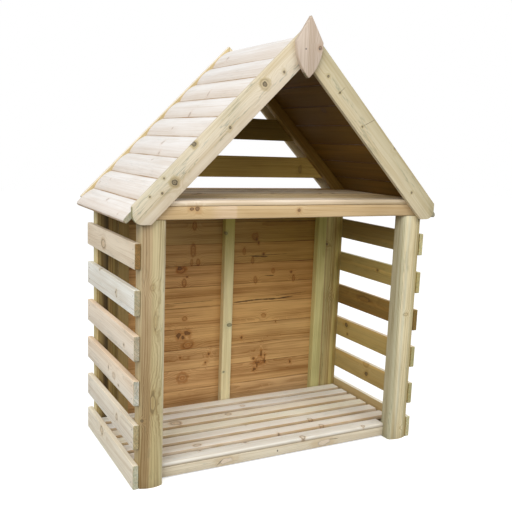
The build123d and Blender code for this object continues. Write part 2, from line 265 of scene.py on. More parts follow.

    # faces turned inwards or under the roof get painted shade, deeper along their seams; the seams get dirt
    # and painted shade; and cut ends drink the treatment
    deeper = w.tinted(entry["Stain"], (1.4, 1.35, 1.3, 1))
    stain = w.mix(w.ramp(streak, 0.45, 0.7), entry["Stain"], deeper)
    colour = w.mix(entry["In Painted Shade"], colour, w.tinted(colour, stain))
    inner_seam_shade = w.times(entry["In Painted Shade"], w.ramp(entry["Seam"], 0.1, 0.7))
    colour = w.mix(inner_seam_shade, colour, w.tinted(colour, entry["Dirt"]))
    # dirt and painted shade along the seams, broken into patches
    patchy = w.ramp(patch, 0.36, 0.6, entry["Joint Wear"], 1.0)
    seam = w.times(w.ramp(entry["Seam"], 0.35, 0.95), patchy)
    colour = w.mix(seam, colour, w.tinted(colour, entry["Dirt"]))
    ends = w.mix(w.ramp(fibre, 0.35, 0.65), (0.46, 0.50, 0.40, 1), (0.70, 0.70, 0.56, 1))
    cut = w.tinted(colour, ends)
    cut = w.mix(w.times(late, 0.7), cut, w.tinted(cut, (0.6, 0.5, 0.36, 1)))
    w.feed(leave["Color"], w.mix(entry["Cut End"], colour, cut))

    rough = w.plus(0.6, w.times(fibre, 0.16), w.times(entry["Cut End"], 0.12))
    w.feed(leave["Roughness"], w.minus(rough, w.times(core, 0.12)))
    height = w.plus(w.times(late, 0.35), w.times(fine, 0.5), w.times(fibre, 0.5))
    w.feed(leave["Height"], w.minus(height, w.times(entry["Split"], 3.0)))
    return group


KNOT, SPLIT, TIMBER = knot_group(), split_group(), timber_group()
LAYERS = (("Grain", "grain", "Vector"), ("Tone", "tone", "Vector"), ("Cut End", "cut_end", "Fac"),
          ("Seam", "seam", "Fac"), ("In Painted Shade", "sheltered", "Fac"))


def wood(name, pale, deep, knots=(), figures=(), splits=(), turned=None, **looks):
    """A board finish, with knots and figures as (place, size) and splits as (start, end, width).

    Boards made here carry their own grain and tone. A board of the frame has the pattern turned along it.
    """
    material = bpy.data.materials.new(name)
    w = blank(material)
    point = w.put("TexCoord").outputs["Object"]
    near = {"Nearest": FAR, "Figure": FAR}
    for label, marks in (("Nearest", knots), ("Figure", figures)):
        for place, size in marks:
            inputs = {"Point": point, "Place": place, "Size": size, "Nearest": near[label]}
            near[label] = w.put("Group", inputs, node_tree=KNOT).outputs[0]
    opened = 0.0
    for start, end, width in splits:
        inputs = {"Point": point, "Start": start, "End": end, "Width": width, "Before": opened}
        opened = w.put("Group", inputs, node_tree=SPLIT).outputs[0]
    inputs = {"Pale": (*pale, 1), "Deep": (*deep, 1), "Split": opened, **near}
    for label, value in looks.items():
        inputs[label.replace("_", " ").title()] = (*value, 1) if isinstance(value, tuple) else value
    if turned:
        mapping = w.put("Mapping", {"Vector": point, "Rotation": turned, "Location": (0.3, 0.06, 0.04)})
        inputs["Grain"] = mapping.outputs[0]
    else:
        for label, layer, output in LAYERS:
            inputs[label] = w.put("Attribute", attribute_name=layer).outputs[output]
    timber = w.put("Group", inputs, node_tree=TIMBER).outputs
    relief = w.put("Bump", {"Height": timber["Height"], "Distance": RELIEF, "Strength": 0.6})
    w.close(w.put("BsdfPrincipled", {
        "Base Color": timber["Color"],
        "Roughness": timber["Roughness"],
        "Normal": relief.outputs[0],
        "Specular IOR Level": 0.25,
    }))
    return material


# ---------------------------------------------------------------- board making
def frame_of(centre, along, across):
    """Where a board lies: X of the board along its grain, Y across its face, Z out of the face."""
    out = along.cross(across)
    return Matrix((
        (along.x, across.x, out.x, centre.x),
        (along.y, across.y, out.y, centre.y),
        (along.z, across.z, out.z, centre.z),
        (0, 0, 0, 1),
    ))


def spans(node):
    """Middle and size of a node."""
    low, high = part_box(node)
    return (low + high) / 2.0, high - low


def slope(out):
    """The way down the roof and the way square out of it, on the side that out points to."""
    return Vector((out, 0, -1)).normalized(), Vector((out, 0, 1)).normalized()


def everything(bm):
    return bm.verts[:] + bm.edges[:] + bm.faces[:]


def squared(length, width, thick):
    """A sawn board about the origin, before its edges are eased."""
    bm = bmesh.new()
    bmesh.ops.create_cube(bm, size=1.0)
    bmesh.ops.scale(bm, vec=(length, width, thick), verts=bm.verts)
    return bm


def crowned(length, width, low, high, strips, far=None):
    """A flat-backed board whose face is an arc: low at one edge, high in the middle, far at the other."""
    bm = squared(length, width, 1.0)
    bmesh.ops.translate(bm, vec=(0, 0, 0.5), verts=bm.verts)
    edges = [e for e in bm.edges if abs((e.verts[1].co - e.verts[0].co).normalized().y) > 0.9]
    bmesh.ops.subdivide_edges(bm, edges=edges, cuts=strips - 1, use_grid_fill=True)
    half = width / 2.0
    fall = high - low
    far_fall = high - (low if far is None else far)
    shift = (fall - far_fall) * (half * half - fall * far_fall) / (2.0 * half * (fall + far_fall))
    drop = (half * half + 2.0 * half * shift + fall * fall) / (2.0 * fall)
    radius = math.hypot(shift, drop)
    for v in bm.verts:
        if v.co.z > 0.5:
            v.co.z = high - drop + math.sqrt(radius * radius - (v.co.y - shift) ** 2)
    return bm


def saw(bm, place, point, normal):
    """Cut through a board where it lies and close the cut. The side away from the normal stays."""
    flat = place.inverted()
    cut = bmesh.ops.bisect_plane(bm, geom=everything(bm), plane_co=flat @ point,
                                 plane_no=flat.to_3x3() @ normal, clear_outer=True)
    edges = [g for g in cut["geom_cut"] if isinstance(g, bmesh.types.BMEdge)]
    bmesh.ops.edgeloop_fill(bm, edges=edges)


def ease(bm, edges, radius, segments=2):
    """Round the given edges."""
    bmesh.ops.bevel(
        bm, geom=edges, offset=radius, offset_type="OFFSET", segments=segments, profile=0.5,
        affect="EDGES", material=-1, clamp_overlap=True,
    )


def sharp_edges(bm, test=lambda e: True, least=0.6):
    bm.normal_update()
    return [e for e in bm.edges if len(e.link_faces) == 2 and e.calc_face_angle(0.0) > least and test(e)]


def runs_along(e):
    return abs((e.verts[1].co - e.verts[0].co).normalized().x) > 0.98


def runs_across(e):
    return not runs_along(e)


def eased_board(length, width, thick, edge, end=0.001, face_edge=None):
    """A planed board with rounded long edges, more so on its face if asked, and barely eased ends."""
    bm = squared(length, width, thick)
    if face_edge:
        ease(bm, sharp_edges(bm, lambda e: runs_along(e) and e.verts[0].co.z > 0), face_edge, 6)
        ease(bm, sharp_edges(bm, lambda e: runs_along(e) and e.verts[0].co.z < 0), edge)
    else:
        ease(bm, sharp_edges(bm, runs_along), edge, 4)
    ease(bm, sharp_edges(bm, runs_across), end, 1)
    return bm


def season(bm, place, tone, seed, wobble=0.0005, step=0.09, seam=0.0, sheltered=()):
    """Give a board its slight wobble, its grain and its tone, and lay it in its place.

    Long edges get dirt and painted shade over the width of the seam, and faces turned the given ways get
    painted shade.
    """
    lot = random.Random(seed)
    low = min(v.co.x for v in bm.verts)
    half = max(abs(v.co.y) for v in bm.verts)
    length = max(v.co.x for v in bm.verts) - low
    count = max(2, round(length / step))
    cuts = [((low + length * index / count, 0, 0), (1, 0, 0)) for index in range(1, count)]
    if seam:
        cuts += [((0, side * (half - seam), 0), (0, 1, 0)) for side in (-1, 1)]
    for point, normal in cuts:
        bmesh.ops.bisect_plane(bm, geom=everything(bm), plane_co=point, plane_no=normal)
    cut_end = bm.faces.layers.float.new("cut_end")
    shelter = bm.faces.layers.float.new("sheltered")
    grain = bm.verts.layers.float_vector.new("grain")
    shade = bm.verts.layers.float_vector.new("tone")
    seam_layer = bm.verts.layers.float.new("seam")
    bm.normal_update()
    for f in bm.faces:
        f[cut_end] = 1.0 if abs(f.normal.x) > 0.6 else 0.0
    start = lot.uniform(0, 40)
    beside = HEART[0] * lot.choice((-1, 1)) * lot.uniform(0.2, 1.2)
    below = HEART[1] * lot.choice((-1, 1)) * lot.uniform(0.7, 1.3)
    for v in bm.verts:
        v[grain] = v.co + Vector((start, beside, below))
        v[shade] = colour_at(tone, v.co)
        v[seam_layer] = 1.0 if seam and abs(v.co.y) > half - seam * 0.5 else 0.0
        at = Vector((v.co.x * 3.0 + start, seed * 3.1, 0.0))
        v.co.z += wobble * noise.noise(at)
        v.co.y += wobble * noise.noise(at + Vector((0, 0, 9.0)))
    bmesh.ops.transform(bm, matrix=place, verts=bm.verts)
    if place.to_3x3().determinant() < 0:
        bmesh.ops.reverse_faces(bm, faces=bm.faces)
    bm.normal_update()
    # faces turned the given ways carry painted shade
    for f in bm.faces:
        f[shelter] = 1.0 if any(f.normal.dot(way) > 0.5 for way in sheltered) else 0.0
    return bm


def piece(name, boards, material, nodes=()):
    """One piece of the store made of one or more boards, standing for the given nodes of the frame."""
    whole = bmesh.new()
    for bm in boards:
        part = bpy.data.meshes.new("part")
        bm.to_mesh(part)
        bm.free()
        whole.from_mesh(part)
        bpy.data.meshes.remove(part)
    mesh = bpy.data.meshes.new(name)
    whole.to_mesh(mesh)
    whole.free()
    mesh.materials.append(material)
    made = bpy.data.objects.new(name, mesh)
    bpy.context.scene.collection.objects.link(made)
    mesh.shade_smooth()
    mesh.set_sharp_from_angle(angle=math.radians(35.0))
    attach(made, "root")
    if nodes:
        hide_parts(*nodes)


def plank(node, ending, along, across, tone, seed, finish, slot, edge, end=0.001, **care):
    """A planed board that takes the place of a node, with the ways its grain and its width run."""
    centre, size = spans(node)
    length, width, thick = (abs(size.dot(way)) for way in (along, across, along.cross(across)))
    board = eased_board(length, width, thick, edge, end)
    season(board, frame_of(centre, along, across), tone, seed, **care)
    piece(node + ending, [board], finish, [node])


# ---------------------------------------------------------------- tones
# A tone is one colour, or a rule that gives the colour for a point of a board.
def colour_at(tone, co):
    return tone(co) if callable(tone) else tone


def share_of(value, low, high):
    """How far a value has come from low to high, from 0 to 1."""
    return min(1.0, max(0.0, (value - low) / (high - low)))


def bands(*stops, wander=0.004):
    """A tone that changes across a board: (place across the face, colour) pairs in rising order."""
    def rule(co):
        at = co.y + wander * noise.noise(Vector((co.x * 5.0, 3.3, 0)))
        for (y0, c0), (y1, c1) in zip(stops, stops[1:]):
            if at < y1:
                share = share_of(at, y0, y1)
                return tuple(a + (b - a) * share for a, b in zip(c0, c1))
        return stops[-1][1]
    return rule


def faded(tone, low, high, foot=(1, 1, 1), head=(1, 1, 1)):
    """A tone that also changes along a board, from its foot colour at low to its head colour at high."""
    def rule(co):
        share = share_of(co.x, low, high)
        return tuple(c * (a + (b - a) * share) for c, a, b in zip(colour_at(tone, co), foot, head))
    return rule


def dyed(tone, tint):
    """A tone with another colour laid over it."""
    return lambda co: tuple(c * t for c, t in zip(colour_at(tone, co), tint))


def two_faced(face, back):
    """A tone that differs between the face of a board and its back."""
    return lambda co: colour_at(face if co.z > 0.0 else back, co)


def capped(tone, half, end):
    """A board's tone with another colour on its two cut ends."""
    return lambda co: end if abs(co.x) > half - 0.0005 else colour_at(tone, co)


def any_tone(spread=0.05):
    """The slightly different colour of one board among its neighbours."""
    light, warm = chance.uniform(-spread, spread), chance.uniform(-0.5, 0.5) * spread
    return (1 + light + warm, 1 + light, 1 + light - 1.5 * warm)


# ---------------------------------------------------------------- knots and splits on a flat face
# A spot is a knot's place along the two axes of the face, then its reach along them.
def on_side(x, depth, *spots):
    return [((x, y, z), (depth, wide, tall)) for y, z, wide, tall in spots]


def on_front(y, depth, *spots):
    return [((x, y, z), (wide, depth, tall)) for x, z, wide, tall in spots]


def on_top(z, depth, *spots):
    return [((x, y, z), (long, wide, depth)) for x, y, long, wide in spots]


def cracks(y, *runs):
    """Splits on a face that looks to the front: X and Z of both ends, and the width."""
    return [((x0, y, z0), (x1, y, z1), width) for x0, z0, x1, z1, width in runs]


LEFT_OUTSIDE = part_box("left_slat_1")[0].x
RIGHT_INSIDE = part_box("right_slat_1")[0].x
POST_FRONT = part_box("front_post_left")[0].y + 0.003
REAR_POST_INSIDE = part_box("rear_post_right")[0].y
WALL_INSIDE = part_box("back_wall")[0].y
BATTEN_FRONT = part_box("back_batten_middle")[0].y
FLOOR_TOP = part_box("floor_slats")[1].z - 0.001
FASCIA_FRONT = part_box("floor_fascia")[0].y
SHELF_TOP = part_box("shelf_board_1")[1].z
RAIL_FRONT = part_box("shelf_rail_front")[0].y
BARGE_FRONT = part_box("front_barge_left")[0].y

# ---------------------------------------------------------------- finishes
# the side slats' shade colour is painted shade on their inner faces
SIDE = wood(
    "side_slat_wood", (0.8, 0.745, 0.645), (0.61, 0.525, 0.41), rings=0.5, mineral=0.4, small_knots=0.06,
    knot=(0.09, 0.075, 0.055), halo=(0.55, 0.42, 0.26), stain=(0.62, 0.5, 0.3), knot_strength=1.0,
    knots=on_side(
        LEFT_OUTSIDE, 0.01,
        (-0.189, 0.527, 0.006, 0.004), (0.017, 0.376, 0.004, 0.006), (-0.121, 0.346, 0.006, 0.004),
    ) + on_side(
        RIGHT_INSIDE, 0.01,
        (0.003, 0.198, 0.01, 0.009), (0.194, 0.397, 0.013, 0.01), (0.182, 0.353, 0.005, 0.005),
        (-0.032, 0.719, 0.007, 0.005)),
    figures=on_side(LEFT_OUTSIDE, 0.02, (0.093, 0.87, 0.026, 0.016)) + on_side(
        LEFT_OUTSIDE, 0.01,
        (-0.09, 0.704, 0.008, 0.012), (0.15, 0.76, 0.01, 0.008), (-0.06, 0.365, 0.016, 0.01),
        (-0.1, 0.21, 0.01, 0.01), (0.114, 0.07, 0.016, 0.016),
    ) + on_side(RIGHT_INSIDE, 0.01, (0.011, 0.244, 0.016, 0.012), (0.06, 0.56, 0.045, 0.01)),
)
POST = wood(
    "post_wood", (0.68, 0.585, 0.365), (0.355, 0.26, 0.12), rings=0.75, streaks=0.5, mineral=0.6,
    small_knots=0.03, knot=(0.1, 0.07, 0.04), halo=(0.5, 0.38, 0.19), knot_strength=1.0,
    knots=on_front(POST_FRONT, 0.02, (-0.619, 0.268, 0.005, 0.006))
    + on_front(REAR_POST_INSIDE, 0.01, (0.54, 0.8, 0.006, 0.007)),
    figures=on_front(
        POST_FRONT, 0.02,
        (-0.585, 0.767, 0.008, 0.011), (-0.58, 0.335, 0.009, 0.034), (-0.574, 0.64, 0.006, 0.03),
        (0.574, 0.576, 0.01, 0.006), (0.588, 0.052, 0.004, 0.005),
    ) + on_front(REAR_POST_INSIDE, 0.01, (0.574, 0.538, 0.009, 0.01)),
)
WALL = wood(
    "wall_wood", (0.635, 0.38, 0.165), (0.3, 0.135, 0.04), rings=0.42, streaks=0.55, mineral=0.1,
    small_knots=0.1, knot=(0.11, 0.045, 0.013), halo=(0.36, 0.135, 0.03), dirt=(0.37, 0.26, 0.14),
    knot_strength=1.0, gnarl=2.4, joint_wear=0.15,
    knots=on_front(
        WALL_INSIDE, 0.03,
        (-0.234, 0.392, 0.01, 0.01), (-0.19, 0.398, 0.012, 0.008), (-0.212, 0.38, 0.008, 0.01),
        (-0.224, 0.283, 0.004, 0.005), (-0.078, 0.286, 0.006, 0.007), (-0.094, 0.246, 0.006, 0.006),
        (-0.231, 0.708, 0.01, 0.006), (-0.198, 0.668, 0.004, 0.004), (0.16, 0.835, 0.005, 0.008),
        (0.17, 0.815, 0.004, 0.006), (0.281, 0.415, 0.003, 0.004), (0.095, 0.351, 0.005, 0.006),
        (0.166, 0.238, 0.007, 0.006), (0.207, 0.26, 0.004, 0.012), (0.226, 0.225, 0.004, 0.013),
        (0.188, 0.214, 0.014, 0.004), (0.173, 0.182, 0.007, 0.007), (0.186, 0.198, 0.004, 0.012),
        (0.375, 0.197, 0.005, 0.006)),
    figures=on_front(
        WALL_INSIDE, 0.03,
        (-0.186, 0.342, 0.023, 0.016), (-0.211, 0.182, 0.021, 0.018), (0.212, 0.453, 0.01, 0.008),
        (-0.205, 0.47, 0.01, 0.008), (0.2, 0.222, 0.018, 0.016), (-0.226, 0.7, 0.017, 0.012),
        (-0.211, 0.64, 0.008, 0.016), (-0.17, 0.79, 0.01, 0.022), (-0.165, 0.905, 0.008, 0.015),
        (-0.144, 0.734, 0.007, 0.013), (-0.176, 0.735, 0.005, 0.012), (0.152, 0.845, 0.012, 0.014),
        (0.094, 0.777, 0.006, 0.014), (0.141, 0.73, 0.006, 0.014), (0.256, 0.674, 0.007, 0.01),
        (0.16, 0.633, 0.007, 0.013), (0.374, 0.631, 0.006, 0.014)),
    splits=cracks(
        WALL_INSIDE,
        (0.044, 0.529, 0.21, 0.536, 0.006), (0.18, 0.535, 0.31, 0.531, 0.006),
        (0.27, 0.53, 0.376, 0.539, 0.006), (0.136, 0.75, 0.224, 0.746, 0.004),
        (0.206, 0.653, 0.262, 0.65, 0.004), (0.05, 0.752, 0.33, 0.756, 0.002),
        (0.28, 0.548, 0.45, 0.556, 0.002), (-0.3, 0.545, -0.06, 0.548, 0.002)),
)
BATTEN = wood(
    "batten_wood", (0.6, 0.54, 0.29), (0.44, 0.37, 0.17), rings=0.45, mineral=0.3, small_knots=0.0,
    knot=(0.12, 0.13, 0.08), halo=(0.42, 0.4, 0.22),
    knots=on_front(
        BATTEN_FRONT, 0.02,
        (-0.02, 0.87, 0.007, 0.008), (0.011, 0.43, 0.011, 0.008), (-0.014, 0.2, 0.006, 0.005)),
)
# the floor's seam colour is painted shade in the gaps and on the slats' rounded long edges
FLOOR = wood(
    "floor_wood", (0.89, 0.83, 0.76), (0.73, 0.64, 0.53), rings=0.45, joint_wear=0.7, mineral=0.4,
    small_knots=0.03, halo=(0.6, 0.43, 0.27), dirt=(0.56, 0.42, 0.27), knot=(0.1, 0.07, 0.045),
    knot_strength=0.9,
    knots=on_top(
        FLOOR_TOP, 0.02,
        (-0.341, -0.213, 0.005, 0.006), (-0.137, -0.214, 0.007, 0.007), (0.038, -0.193, 0.004, 0.01),
        (-0.054, -0.052, 0.004, 0.005)),
    figures=on_top(
        FLOOR_TOP, 0.02,
        (-0.33, -0.164, 0.014, 0.009), (-0.07, 0.091, 0.012, 0.01), (-0.329, 0.082, 0.022, 0.015),
        (0.114, -0.26, 0.01, 0.01), (0.036, 0.16, 0.009, 0.009), (0.303, 0.19, 0.005, 0.006),
        (0.248, -0.104, 0.009, 0.011), (0.257, -0.185, 0.009, 0.01), (0.427, -0.262, 0.006, 0.006)),
)
FASCIA = wood(
    "fascia_wood", (0.8, 0.73, 0.61), (0.56, 0.46, 0.33), rings=0.5, mineral=0.4, small_knots=0.0,
    knot=(0.82, 0.7, 0.56), halo=(0.6, 0.46, 0.29), knot_strength=1.0,
    knots=on_front(FASCIA_FRONT, 0.02, (-0.25, 0.026, 0.026, 0.011), (0.215, 0.024, 0.03, 0.011)),
    splits=cracks(
        FASCIA_FRONT,
        (-0.014, 0.026, -0.009, 0.027, 0.008), (-0.29, 0.012, -0.262, 0.034, 0.002),
        (0.245, 0.034, 0.29, 0.03, 0.002)),
)
BEARER = wood("bearer_wood", (0.5, 0.42, 0.26), (0.38, 0.28, 0.15), turned=(0, 0, math.radians(90)))
SHELF = wood(
    "shelf_wood", (0.7, 0.55, 0.36), (0.52, 0.36, 0.19), rings=0.6, streaks=0.5, mineral=0.2,
    small_knots=0.2, knot=(0.11, 0.045, 0.018), halo=(0.5, 0.3, 0.13), dirt=(0.42, 0.26, 0.13),
    knot_strength=1.0,
    knots=on_top(
        SHELF_TOP, 0.01,
        (-0.316, -0.037, 0.012, 0.01), (-0.275, 0.008, 0.009, 0.012), (0.31, 0.006, 0.007, 0.01),
        (0.381, 0.006, 0.008, 0.012), (0.068, 0.007, 0.008, 0.01),
    ) + on_front(
        RAIL_FRONT, 0.02,
        (0.009, 1.039, 0.006, 0.006), (-0.441, 1.048, 0.008, 0.006), (-0.42, 1.048, 0.008, 0.008)),
)
# the roof's dark shade colour is painted shade on the undersides of its boards
ROOF = wood(
    "roof_wood", (0.81, 0.765, 0.72), (0.665, 0.575, 0.49), rings=0.35, streaks=0.35, mineral=0.2,
    small_knots=0.08, halo=(0.66, 0.5, 0.38), dirt=(0.55, 0.38, 0.2), stain=(0.157, 0.086, 0.01),
    knot_strength=0.45,
    knots=[((-0.057, 0.231, 1.651), (0.01, 0.008, 0.006)), ((-0.313, 0.049, 1.395), (0.012, 0.007, 0.012)),
           ((-0.225, 0.055, 1.484), (0.012, 0.006, 0.012)), ((-0.43, 0.018, 1.279), (0.01, 0.008, 0.01)),
           ((-0.469, -0.025, 1.24), (0.008, 0.008, 0.008)), ((-0.372, 0.071, 1.336), (0.004, 0.004, 0.004)),
           ((-0.588, 0.205, 1.12), (0.004, 0.005, 0.004)), ((-0.495, -0.041, 1.214), (0.004, 0.005, 0.004)),
           ((-0.654, 0.016, 1.054), (0.006, 0.01, 0.006)), ((-0.686, -0.228, 1.022), (0.004, 0.004, 0.004)),
           ((0.245, -0.088, 1.438), (0.012, 0.02, 0.012))],
)
BARGE = wood(
    "barge_wood", (0.72, 0.65, 0.47), (0.56, 0.46, 0.27), rings=0.45, mineral=0.9, small_knots=0.0,
    knot=(0.055, 0.042, 0.032), halo=(0.5, 0.4, 0.2), knot_strength=1.0,
    knots=on_front(
        BARGE_FRONT, 0.03,
        (-0.174, 1.503, 0.009, 0.009), (-0.518, 1.144, 0.01, 0.01), (-0.447, 1.278, 0.008, 0.008),
        (-0.309, 1.342, 0.005, 0.005), (-0.557, 1.158, 0.004, 0.004), (-0.608, 1.094, 0.004, 0.004),
        (-0.564, 1.106, 0.004, 0.004), (-0.096, 1.553, 0.005, 0.005), (0.097, 1.551, 0.005, 0.005),
        (0.269, 1.37, 0.004, 0.004), (0.154, 1.494, 0.004, 0.004), (0.541, 1.109, 0.004, 0.004),
        (0.438, 1.29, 0.005, 0.005)),
    figures=on_front(
        BARGE_FRONT, 0.03,
        (-0.174, 1.503, 0.017, 0.017), (-0.518, 1.144, 0.015, 0.015), (-0.447, 1.278, 0.011, 0.011)),
    splits=cracks(
        BARGE_FRONT, (0.272, 1.372, 0.33, 1.4, 0.0014), (0.146, 1.488, 0.178, 1.516, 0.0014)),
)
# the gable finish's shade colour is painted shade on the rafters' front faces
GABLE = wood(
    "gable_wood", (0.46, 0.37, 0.19), (0.31, 0.22, 0.09), rings=0.5, mineral=0.1, small_knots=0.1,
    stain=(0.62, 0.54, 0.34), halo=(0.3, 0.24, 0.1), knot_strength=0.5,
    knots=[((0.361, 0.275, 1.172), (0.01, 0.02, 0.016))],
)
LEAF = wood(
    "finial_wood", (0.6, 0.5, 0.41), (0.42, 0.32, 0.235), rings=0.7, mineral=0.0, small_knots=0.0,
    halo=(0.42, 0.28, 0.18), knots=[((0.043, -0.36, 1.648), (0.007, 0.03, 0.008))],
)


# ---------------------------------------------------------------- slatted sides
def edged(foot, face, top):
    """A slat's tone from the foot of its face to its top, and along its top edge."""
    return bands((-0.044, foot), (0.0435, face), (0.0465, top), wander=0.0)


# foot, face, top edge and cut ends of each slat, from the lowest up; the right slats' face tones are for
# their inner faces and carry painted shade besides each board's own colour
LEFT_TONES = (
    ((1.12, 1.12, 1.07), (1.14, 1.14, 1.10), (1.14, 1.14, 1.08), (1.24, 1.31, 1.44)),
    ((1.00, 1.00, 1.00), (1.06, 1.04, 0.99), (1.10, 1.06, 0.98), (1.03, 0.91, 0.75)),
    ((1.06, 1.05, 1.04), (1.10, 1.00, 0.90), (1.14, 0.98, 0.84), (1.20, 1.24, 1.53)),
    ((1.04, 1.01, 0.99), (1.08, 1.02, 0.96), (1.14, 0.98, 0.84), (0.96, 0.89, 0.94)),
    ((1.12, 1.19, 1.28), (1.10, 1.18, 1.27), (1.12, 1.19, 1.24), (0.96, 0.88, 0.84)),
    ((0.99, 0.92, 0.83), (0.99, 0.92, 0.82), (1.02, 0.95, 0.85), (0.57, 0.35, 0.17)))
RIGHT_TONES = (
    ((0.98, 0.99, 0.95), (0.95, 0.95, 0.88), (1.10, 1.15, 1.15), (1.33, 1.31, 1.15)),
    ((0.86, 0.85, 0.62), (0.86, 0.85, 0.62), (1.05, 1.10, 1.05), (0.98, 0.93, 0.68)),
    ((0.87, 0.87, 0.59), (0.87, 0.87, 0.59), (1.05, 1.05, 0.95), (0.96, 0.92, 0.66)),
    ((0.44, 0.36, 0.18), (0.50, 0.43, 0.23), (0.50, 0.42, 0.22), (0.52, 0.36, 0.15)),
    ((0.84, 0.86, 0.58), (0.84, 0.86, 0.56), (0.84, 0.86, 0.56), (1.04, 0.95, 0.65)),
    ((0.62, 0.63, 0.42), (0.50, 0.49, 0.30), (0.50, 0.49, 0.30), (1.24, 1.20, 0.96)))
SLAT_EDGE, SLAT_END = 0.003, 0.002
for (side, out), tones, first_seed in zip(SIDES, (LEFT_TONES, RIGHT_TONES), (1, 21)):
    for index, (*along_face, ends) in enumerate(tones):
        node = f"{side}_slat_{index + 1}"
        outside = edged(*LEFT_TONES[index][:3])
        tone = capped(two_faced(outside, edged(*along_face)), spans(node)[1].y / 2.0, ends)
        # the inner faces get painted shade
        plank(node, "_board", Y * out, Z, tone, first_seed + index, SIDE, "side_slat_wood",
              SLAT_EDGE, SLAT_END, sheltered=(X * -out,))

# ---------------------------------------------------------------- corner posts
CROWN, SHOULDER, POST_EDGE, POST_STRIPS = 0.013, 0.009, 0.0015, 16
POST_TONES = {
    "front_post_left": faded(
        bands((-0.044, (1.0, 1.05, 1.2)), (-0.036, (0.95, 0.97, 0.95)), (-0.02, (0.84, 0.82, 0.76)),
              (0.004, (0.8, 0.78, 0.7)), (0.012, (0.69, 0.6, 0.54)), (0.038, (0.64, 0.55, 0.5)),
              (0.046, (0.82, 0.78, 0.75))),
        -0.45, 0.3, foot=(0.95, 0.93, 0.84), head=(1.02, 1.02, 1.04)),
    "front_post_right": bands(
        (-0.044, (1.0, 1.02, 0.91)), (-0.026, (1.06, 1.08, 1.0)), (-0.021, (0.99, 1.06, 1.15)),
        (-0.015, (1.15, 1.15, 1.13)), (0.010, (1.15, 1.18, 1.23)), (0.019, (0.99, 1.1, 1.33)),
        (0.028, (1.16, 1.19, 1.25)), (0.040, (0.82, 0.9, 0.98))),
    "rear_post_right": faded(
        bands((-0.042, (0.65, 0.56, 0.4)), (-0.034, (0.82, 0.83, 0.65)), (-0.004, (0.85, 0.8, 0.6)),
              (0.006, (0.6, 0.5, 0.32)), (0.012, (0.95, 0.9, 0.6)), (0.028, (0.75, 0.72, 0.42)),
              (0.036, (0.58, 0.5, 0.28))),
        -0.1, 0.5, head=(1.05, 1.1, 0.9)),
    "rear_post_left": bands(
        (-0.0465, (1.2, 1.08, 1.0)), (-0.0455, (0.72, 0.65, 0.48)), (-0.038, (0.66, 0.6, 0.42)),
        (-0.029, (0.42, 0.36, 0.22)), (-0.020, (0.33, 0.27, 0.17)), (-0.011, (0.16, 0.13, 0.08)),
        (-0.003, (0.09, 0.07, 0.04)), (0.001, (0.1, 0.08, 0.04)), (0.007, (0.5, 0.4, 0.24)),
        (0.012, (0.46, 0.36, 0.2)), (0.030, (0.38, 0.33, 0.18)), (0.046, (0.26, 0.2, 0.1))),
}
POST_SEEDS = {"front_post_left": 41, "front_post_right": 42, "rear_post_left": 46, "rear_post_right": 47}


def post_shoulder(e):
    return runs_along(e) and min(v.co.z for v in e.verts) > 0.02


for node, seed in POST_SEEDS.items():
    facing = -1.0 if node.startswith("front") else 1.0
    centre, size = spans(node)
    low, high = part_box(node)
    post = crowned(size.z, size.x, size.y - CROWN, size.y, POST_STRIPS)
    ease(post, sharp_edges(post, post_shoulder, 0.5), SHOULDER, 4)
    ease(post, sharp_edges(post), POST_EDGE)
    back = Vector((centre.x, high.y if facing < 0 else low.y, centre.z))
    tone = POST_TONES[node]
    if facing > 0:
        tone = two_faced(POST_TONES["front_post_right"], tone)
    season(post, frame_of(back, Z, X * facing), tone, seed, step=0.04)
    piece(node + "_timber", [post], POST, [node])

# ---------------------------------------------------------------- back wall
FIRST_JOINT, BOARD_PITCH, BOARD_GAP, LEAST_BOARD = 0.122, 0.0995, 0.0003, 0.025
# each board's tone to the left and to the right, from the lowest up; the upper boards, most of all on the
# right, are darkened with painted shade below the shelf
WALL_LEFT = (
    (1.05, 1.05, 1.0), (1.06, 1.05, 1.04), (1.09, 1.11, 1.1), (1.08, 1.06, 0.95), (1.11, 1.09, 0.98),
    (1.14, 1.13, 1.0), (1.1, 1.07, 0.99), (0.93, 0.94, 0.87), (0.78, 0.86, 0.78), (0.7, 0.78, 0.7))
WALL_RIGHT = (
    (1.09, 1.17, 1.27), (0.96, 0.96, 0.88), (1.02, 1.05, 0.97), (1.07, 1.11, 0.99), (1.09, 1.09, 0.91),
    (0.99, 0.95, 0.73), (0.84, 0.77, 0.52), (0.72, 0.71, 0.41), (0.55, 0.57, 0.26), (0.43, 0.46, 0.2))
WEATHERED = (1.2, 1.65, 2.6)
centre, size = spans("back_wall")
low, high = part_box("back_wall")
joints = [low.z]
while FIRST_JOINT + BOARD_PITCH * (len(joints) - 1) < high.z - LEAST_BOARD:
    joints.append(FIRST_JOINT + BOARD_PITCH * (len(joints) - 1))
joints.append(high.z)
boards = []
for index, (bottom, top) in enumerate(zip(joints, joints[1:])):
    row = index % len(WALL_LEFT)
    inside = faded((1, 1, 1), -0.3, 0.3, WALL_LEFT[row], WALL_RIGHT[row])
    tone = two_faced(inside, dyed(any_tone(), WEATHERED))
    board = eased_board(size.x, top - bottom - BOARD_GAP, size.y, 0.001, 0.0008)
    place = frame_of(Vector((centre.x, centre.y, (bottom + top) / 2.0)), X, Z)
    boards.append(season(board, place, tone, 60 + index, wobble=0.0003, step=0.1, seam=0.003))
piece("back_wall_boards", boards, WALL, ["back_wall"])

